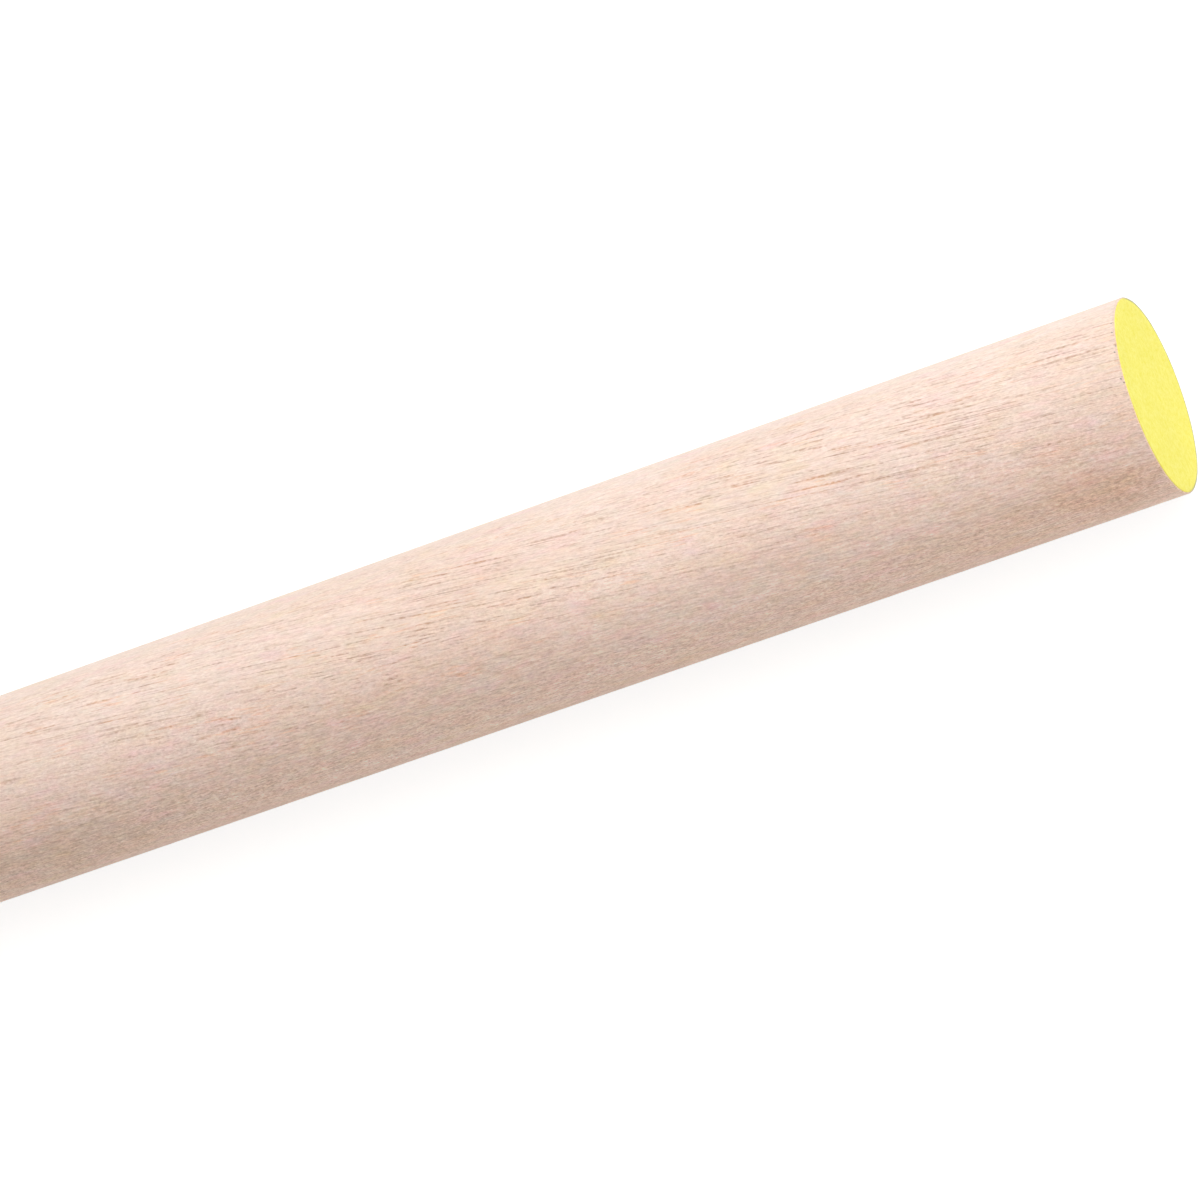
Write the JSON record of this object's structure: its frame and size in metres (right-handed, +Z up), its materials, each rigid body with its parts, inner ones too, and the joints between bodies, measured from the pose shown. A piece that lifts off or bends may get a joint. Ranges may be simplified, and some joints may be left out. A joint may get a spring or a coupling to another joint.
{
  "type": "wooden dowel rod",
  "caption": "Straight round hardwood rod with square-sawn ends and a paint-marked end face, for pegs, rails, handles and spindles.",
  "frame": {"origin": "centre of the bare end face, on the rod's axis", "axes": "+X along the rod's axis from the bare end to the paint-marked end; +Z up, square to the axis, with the rod lying level; the rod is round, so Y and Z are alike"},
  "size_m": [0.9144, 0.0254, 0.0254],
  "materials": {
    "bare_wood": "matte",
    "end_paint": "matte"
  },
  "bodies": {
    "root": {"dowel_rod": "bare_wood"}
  },
  "joints": []
}
